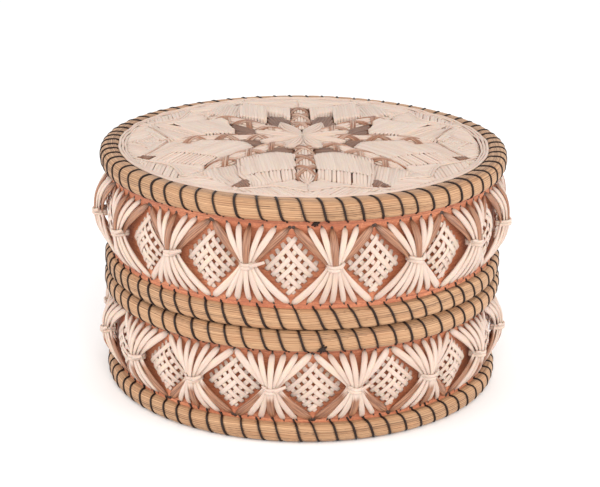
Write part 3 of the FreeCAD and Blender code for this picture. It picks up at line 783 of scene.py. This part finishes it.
SIDE_WEDGE = ((27.0, 60.4), (31.8, 64.4), (31.4, 68.6), (25.8, 68.4))
PATCH = ((28.2, 33.6), (37.0, 39.4), (43.6, 45.4), (33.6, 67.2), (27.4, 60.0), (27.0, 50.0))
BAND_END = ((33.4, 69.2), (26.0, 68.8), (14.8, 66.4), (9.0, 68.0), (-0.6, 73.6))
NEAR_BAND = ((-0.6, 60.4), (4.2, 54.4), (14.8, 60.2), (25.2, 66.8)) + BAND_END
FAR_BAND = ((-0.6, 59.0), (14.0, 58.0), (30.0, 54.0)) + BAND_END
LOBE_TOP = ((-0.6, 72.4), (4.5, 69.4), (9.0, 66.6), (14.8, 64.6), (20.0, 65.8), (26.0, 67.6), (33.2, 68.6))
LOBE_BOTTOM = ((33.6, 69.8), (23.0, 73.6), (12.0, 76.2), (-0.6, 77.1))
# Radius and height of the rings of quill beside the rim
RINGS = ((77.2, 1.25), (78.4, 1.6), (79.6, 1.75))
STAR_SHIFT = np.array([-0.5, 0.0, 0.0])
BACK_SWELL = 0.9
RING_SINK = 0.7
NARROW_SECTOR = (0, -1)
NARROWING = 2.8
SECTORS = ((0, 1), (0, -1), (1, 1), (-1, -1), (4, 1), (4, -1), (3, -1), (-3, 1))
BACK_SECTORS = SECTORS[4:]
SMALL_WEDGE_SECTORS = SECTORS[2:4]
RAISED_SEAM_SECTORS = SECTORS[6:]
BARK_GAP_SHADE_SECTORS = SECTORS[2:4] + SECTORS[6:]
SEAM_PUSH = 2.7
SHORTEST_QUILL = 1.2
CORD_STEPS = 28
# Each seam's (across, out, height) points, width and thickness
FRINGE_SEAMS = ((((28.0, 32.0, 3.0), (27.2, 50.0, 2.7), (25.6, 66.6, 1.3)), 1.5, 0.6),
                (((26.6, 33.0, 3.5), (25.9, 50.0, 3.2), (24.4, 65.8, 1.3)), 1.3, 0.5))
RAISED_FRINGE_SEAM = (((27.5, 32.6, 3.2), (27.0, 46.0, 3.6), (25.1, 64.0, 1.4)), 2.0, 1.0)
RAISED_PATCH_SEAM = (((29.0, 33.2, 2.2), (28.3, 50.0, 2.0), (26.6, 66.0, 1.2)), 1.7, 0.75)
PATCH_SEAMS = ((((38.0, 40.2, 2.3), (35.6, 53.0, 1.9), (33.2, 67.4, 1.0)), 1.4, 0.55),
               (((39.8, 41.4, 1.9), (37.2, 53.0, 1.6), (34.2, 67.6, 0.9)), 1.2, 0.5))
# A tan strip beside the patch seams: bark colour seen in a gap, with painted shade
BARK_GAP_SHADE = (((36.4, 41.0, 2.6), (34.0, 52.5, 2.45), (31.8, 63.0, 2.05)), 0.9, 0.3)
PANEL_LEANS = {(0, -1): -6, (0, 1): 3}
# Panel, leaf and the leaf's lean in degrees for each sector, both of a pair alike
OUTLINES = [shapes for shapes in ((PANEL, LEAF, 78), (PANEL, LEAF, 58), (BACK_PANEL, BACK_LEAF, 14),
                                  (SIDE_PANEL, SIDE_LEAF, 2)) for _ in range(2)]


def star_place(sector, across, out, height):
    """Points on the lid in a sector's own directions; arguments in millimetres."""
    number, side = sector
    across, out, height = np.broadcast_arrays(*(np.asarray(a, float) for a in (across, out, height)))
    if sector == NARROW_SECTOR:
        near_edge = smooth((across - 5) / 20) * (1 - smooth((across - 33) / 6))
        across = across - NARROWING * near_edge * smooth((out - 52) / 8)
    angle = STAR_TURN + number * FULL_TURN / STAR_COUNT
    forward = np.array([math.sin(angle), -math.cos(angle), 0.0])
    sideways = np.array([math.cos(angle), math.sin(angle), 0.0]) * side
    points = out[..., None] * forward + across[..., None] * sideways + STAR_SHIFT
    swell = BACK_SWELL * smooth((points[..., 1] - 10) / 60) * smooth(height / 0.8)
    swell = swell * (1 - smooth((np.hypot(points[..., 0], points[..., 1]) - 62) / 12))
    points[..., 2] = height + swell
    return points * MM + np.array([0, 0, LID_TOP])


def lay_quills(weave, draw, sector, outline, lean, pitch, ends, crown, tint=0.0, soot=0.0, share=0.62,
               flat=0.42, loose=0.05, steps=10, sunk=(True, True), trim=0.0, stairs=0.0):
    """Covers an outline with quills laid side by side.

    lean is the angle of the quills from the spoke in degrees, ends the heights at their inner and
    outer ends, crown the rise in the middle, share half a quill's width in pitches, loose how far it
    strays, trim how short it may fall, stairs how far the quills step down on the inner side, and sunk
    says which ends go into the bark.
    """
    outline = np.array(outline)
    cosine, sine = math.cos(math.radians(lean)), math.sin(math.radians(lean))
    cross = outline[:, 0] * cosine - outline[:, 1] * sine
    along = outline[:, 0] * sine + outline[:, 1] * cosine
    low, high = cross.min(), cross.max()
    count = max(1, round((high - low) / pitch))
    step = (high - low) / count
    next_cross, next_along = np.roll(cross, -1), np.roll(along, -1)
    for number in range(count):
        place = low + (number + 0.5 + draw.uniform(-loose, loose)) * step
        cut = (cross - place) * (next_cross - place) < 0
        part = (place - cross[cut]) / (next_cross - cross)[cut]
        crossings = along[cut] + part * (next_along - along)[cut]
        if len(crossings) < 2 or np.ptp(crossings) < SHORTEST_QUILL:
            continue
        start, stop = crossings.min() + draw.uniform(0, trim), crossings.max() - draw.uniform(0, trim)
        travel = 0.5 - 0.5 * np.cos(math.pi * np.linspace(0, 1, steps))
        run = start + (stop - start) * travel
        inner, outer = run - start, stop - run
        aside = abs(2 * (place - low) / (high - low) - 1)
        height = ends[0] + (ends[1] - ends[0]) * travel + draw.uniform(-0.06, 0.06)
        height = height + crown * (1 - aside ** 3) * (1 - np.abs(2 * travel - 1) ** 2.6)
        for goes_in, end, distance in zip(sunk, ends, (inner, outer)):
            if goes_in:
                height = height - (end + 0.2) * (1 - smooth(distance / 1.1))
        half = step * share * draw.uniform(0.93, 1.07)
        narrow = 0.55 + 0.45 * smooth(np.minimum(inner, outer) / 1.2)
        stair = stairs * smooth((place - low) / (high - low) * 3.0 - 1.1)
        narrow = narrow * (1 - 0.42 * stair * (1 - smooth(inner / 9.0)))
        height = height + 0.5 * stair * (1 - smooth(inner / 6.0)) * (inner > 0.8)
        aside = place + draw.uniform(-0.03, 0.03) * step * (2 * travel - 1)
        path = star_place(sector, aside * cosine + run * sine, run * cosine - aside * sine, height)
        weave.fibre(path, UPWARD, half * narrow * MM, flat * MM, tint, soot, squareness=0.7)


def bundle_quills(weave, sector, start, stop, half_width, count, profile, crest, droop, steps, flat):
    """Quills that run together from start to stop, spread by profile(travel) and crowned across."""
    travel = np.linspace(0, 1, steps)
    spread = profile(travel)
    for number in range(count):
        lateral = (2 * number + 1) / count - 1
        height = crest(travel) - droop * lateral ** 2 * spread
        path = star_place(sector, half_width * lateral * spread, start + (stop - start) * travel, height)
        half = np.maximum(half_width * spread / count * 1.08, 0.22)
        weave.fibre(path, UPWARD, half * MM, flat * MM)


def cord(weave, sector, points, width, thick=0.4, tint=0.0):
    """A quill laid along a smooth line of (across, out, height) points."""
    points = np.array(points, float)
    gaps = lengths_along(points[:, :2])
    places = np.linspace(0, gaps[-1], CORD_STEPS)
    line = np.stack([np.interp(places, gaps, points[:, axis]) for axis in range(3)], axis=-1)
    for _ in range(3):
        line[1:-1] = (line[:-2] + 2 * line[1:-1] + line[2:]) / 4
    taper = 0.4 + 0.6 * np.minimum(1, np.minimum(places, places[-1] - places) / 2.0)
    weave.fibre(star_place(sector, *line.T), UPWARD, width / 2 * taper * MM, thick * MM, tint)


def spoke_crest(out):
    """Height of a spoke's back above the bark at a distance from the middle."""
    return np.interp(out, (12, 18, 38, 48, 56, 60), (4.4, 4.6, 4.5, 3.6, 1.9, 0.9))


def make_spoke(white, brown, draw, number):
    sector = (number, 1)
    bundle_quills(
        white, sector, SPOKE_START, SPOKE_TIP, SPOKE_HALF * 0.94, 6,
        lambda travel: 1.0 - 0.85 * smooth((travel - 0.80) / 0.20) ** 1.2,
        lambda travel: spoke_crest(SPOKE_START + (SPOKE_TIP - SPOKE_START) * travel) - 0.55,
        droop=1.6, steps=22, flat=0.6)
    for place in CROSSINGS:
        for side in (-1, 1):
            for shift in (-1.25, 0.0, 1.25):
                travel = np.linspace(-1, 1, 15)
                across = side * (SPOKE_HALF + 0.35) * travel
                out = place + shift + 5.0 * travel
                over_under = 0.12 * side * np.cos(travel * math.pi)
                height = spoke_crest(out) + over_under - 1.9 * np.abs(travel) ** 2.6
                brown.fibre(star_place(sector, across, out, height), UPWARD, 0.48 * MM, 0.42 * MM,
                            draw.uniform(0.5, 0.82))
    for side in (-1, 1):
        travel = np.linspace(0, 1, 10)
        across = side * (SPOKE_HALF + 0.3 - 1.2 * travel)
        path = star_place(sector, across, CROSSINGS[-1] + 1.5 + 7.6 * travel, 2.0 - 1.1 * travel ** 1.5)
        brown.fibre(path, UPWARD, (0.85 - 0.5 * travel) * MM, 0.45 * MM, 0.9)


def make_border(white, draw, number):
    """The two hatched lobes at the end of a spoke."""
    for side in (-1, 1):
        sector = (number, side)
        lay_quills(white, draw, sector, LOBE_TOP + LOBE_BOTTOM, -38, 1.7, (1.5, 0.9), 0.1, share=0.53,
                   flat=0.4, loose=0.12)
        for inset, width in ((0.0, 1.3), (-1.3, 1.1)):
            line = [(across, out + inset, 1.75 + 0.2 * inset) for across, out in LOBE_TOP]
            cord(white, sector, line, width)


def make_rings(border):
    """The rings of quill laid round the star, close to the top rim."""
    turns = np.linspace(0, FULL_TURN, 241)[:-1]
    outward = around(1.0, turns, 0.0)
    section = np.arange(8) * math.pi / 4
    for number, (radius, top) in enumerate(RINGS):
        wobble = 0.12 * np.sin(turns * 23 + number) + 0.08 * np.sin(turns * 41 + 2 * number)
        sink = RING_SINK * smooth(-np.cos(turns) + 0.2)
        path = around((radius + wobble) * MM, turns, LID_TOP + (top + wobble - sink) * MM)
        points = (path[:, None] + outward[:, None] * (0.62 * MM * np.cos(section))[:, None]
                  + UPWARD * (0.5 * MM * np.sin(section))[:, None])
        lay = np.stack(np.broadcast_arrays(turns[:, None] * radius, 0.6 * np.cos(section), float(number)),
                       axis=-1)
        border.grid(points, lay, loop=True)


def make_seams(fringes, patches, wedges, sector):
    """The quills laid along the edges between a panel, its patch and the next sector, and in some sectors a
    tan strip beside the patch seams that stands for bark in a shaded gap: bark colour with painted shade.
    """
    for line, width, thick in FRINGE_SEAMS:
        cord(fringes, sector, line, width, thick)
    if sector in RAISED_SEAM_SECTORS:
        cord(fringes, sector, *RAISED_FRINGE_SEAM)
        cord(patches, sector, *RAISED_PATCH_SEAM)
    push = SEAM_PUSH if sector in BARK_GAP_SHADE_SECTORS else 0.0
    pushes = np.array([(push, push, 0.0), (push / 2, 0.0, 0.0), (0.0, 0.0, 0.0)])
    for line, width, thick in PATCH_SEAMS:
        cord(patches, sector, line + pushes, width, thick)
    # The tan strip stands for the bark in a shaded gap beside the seams: bark colour and painted shade
    if push:
        line, width, thick = BARK_GAP_SHADE
        cord(wedges, sector, line + pushes, width, thick, tint=0.48)


def make_star():
    draw = np.random.default_rng(41)
    star = {part: Weave() for part in STAR_PARTS}
    spokes, crossings, petals, leaves, panels, fringes, wedges, patches, border = star.values()
    for number in range(STAR_COUNT):
        make_spoke(spokes, crossings, draw, number)
        make_border(border, draw, number)
        petal_tip = 20.8 - 3.0 * math.cos((number + 0.5) * FULL_TURN / STAR_COUNT)
        bundle_quills(
            petals, (number + 0.5, 1), 0.9, petal_tip, 4.2, 7,
            lambda travel: 0.12 + 0.88 * np.sin(math.pi * np.clip(travel, 0, 1) ** 1.25) ** 0.9,
            lambda travel: 4.7 - 0.6 * travel ** 3 - 0.7 * (1 - travel) ** 4,
            droop=1.5, steps=18, flat=0.55)
    for sector, (panel, leaf, leaf_lean) in zip(SECTORS, OUTLINES):
        number, side = sector
        back = sector in BACK_SECTORS
        ends = (3.6, 4.3) if back else (3.9, 2.9)
        lay_quills(panels, draw, sector, panel, PANEL_LEANS.get(sector, 0), 1.3, ends, 0.3, share=0.72,
                   flat=0.34, sunk=(True, False), steps=14, stairs=0.45 if number else 1.0)
        lay_quills(leaves, draw, sector, leaf, leaf_lean, 1.35, (2.7, 2.7), 0.5, tint=1.25, soot=0.5,
                   share=0.6)
        lay_quills(fringes, draw, sector, FRINGE, -2, 1.62, (ends[1] - 0.12, 0.7), 0.1, share=0.54,
                   flat=0.45, loose=0.2, sunk=(False, True), trim=0.5)
        wedge = SIDE_WEDGE if sector in SMALL_WEDGE_SECTORS else WEDGE
        lay_quills(wedges, draw, sector, wedge, -20, 1.15, (1.0, 0.8) if back else (2.0, 1.7), 0.3,
                   tint=1.25, soot=0.38)
        lay_quills(patches, draw, sector, PATCH, -8, 1.3, (1.9, 1.3), 0.3)
        for place, band in ((sector, NEAR_BAND), ((number + side, -side), FAR_BAND)):
            lay_quills(patches, draw, place, band, 68, 1.4, (1.2, 1.1), 0.05)
        make_seams(fringes, patches, wedges, sector)
    make_rings(border)
    for part, weave in star.items():
        weave.piece(f"lid_{part}", "brown_quill" if part in BROWN_PARTS else "white_quill", QUILL)


# Floor, light and camera

CAMERA_PLACE = Vector((0.0, -743.9 * MM, 313.6 * MM))
CAMERA_PITCH = math.radians(19.03)
CAMERA_YAW = math.radians(-0.08)
CAMERA_ROLL = math.radians(0.72)
LENS = 106.5
SENSOR = 36.0
FLOOR_HALF = 3.0
LIGHT_TARGET = Vector((0, 0, 0.06))
# Each light's place and size in metres, power in watts and colour
LIGHTS = {
    "key": ((0.1, -1.2, 0.8), 0.8, 9.8, (1.0, 0.975, 0.95)),
    "fill": ((1.2, -0.6, 0.5), 1.2, 10.2, (1.0, 0.98, 0.96)),
    "side": ((-1.2, -0.5, 0.4), 1.2, 11.0, (1.0, 0.985, 0.97)),
    "back": ((0.1, 0.9, 1.2), 0.9, 2.5, (1.0, 0.99, 0.98)),
}
WORLD_COLOUR = (1.0, 0.99, 0.985, 1.0)
WORLD_STRENGTH = 0.8


def make_camera():
    forward = Vector((math.sin(CAMERA_YAW) * math.cos(CAMERA_PITCH),
                      math.cos(CAMERA_YAW) * math.cos(CAMERA_PITCH), -math.sin(CAMERA_PITCH)))
    right = forward.cross(Vector((0, 0, 1))).normalized()
    up = right.cross(forward)
    rolled_right = math.cos(CAMERA_ROLL) * right + math.sin(CAMERA_ROLL) * up
    rolled_up = math.cos(CAMERA_ROLL) * up - math.sin(CAMERA_ROLL) * right
    data = bpy.data.cameras.new("camera")
    data.lens = LENS
    data.sensor_width = SENSOR
    data.clip_start = 0.01
    camera = bpy.data.objects.new("camera", data)
    bpy.context.collection.objects.link(camera)
    columns = (rolled_right, rolled_up, -forward, CAMERA_PLACE)
    camera.matrix_world = Matrix([[column[row] for column in columns] for row in range(3)] + [[0, 0, 0, 1]])
    bpy.context.scene.camera = camera


def make_floor():
    mesh = bpy.data.meshes.new("floor")
    corners = [(x * FLOOR_HALF, y * FLOOR_HALF, 0) for x, y in ((-1, -1), (1, -1), (1, 1), (-1, 1))]
    mesh.from_pydata(corners, [], [(0, 1, 2, 3)])
    floor = bpy.data.objects.new("floor", mesh)
    bpy.context.collection.objects.link(floor)
    shader = Shader("pale_floor", Roughness=0.9)
    place = shader.node("ShaderNodeTexCoord").outputs["Object"]
    shade = shader.noise(place, (3.0, 3.0, 3.0), 2.0)
    shader.surface(Base_Color=shader.between(shade, 0.3, 0.7, FLOOR_PALE, FLOOR_SHADE))
    mesh.materials.append(shader.material)


def make_light():
    for name, (place, size, power, colour) in LIGHTS.items():
        data = bpy.data.lights.new(name, "AREA")
        data.shape = "DISK"
        data.size = size
        data.energy = power
        data.color = colour
        light = bpy.data.objects.new(name, data)
        bpy.context.collection.objects.link(light)
        light.location = place
        light.rotation_euler = (LIGHT_TARGET - Vector(place)).to_track_quat("-Z", "Y").to_euler()
    world = bpy.data.worlds.new("studio")
    world.use_nodes = True
    backdrop = world.node_tree.nodes["Background"]
    backdrop.inputs["Color"].default_value = WORLD_COLOUR
    backdrop.inputs["Strength"].default_value = WORLD_STRENGTH
    bpy.context.scene.world = world
    bpy.context.scene.view_settings.view_transform = "Standard"


make_rims()
make_bands()
make_star()
make_floor()
make_light()
make_camera()
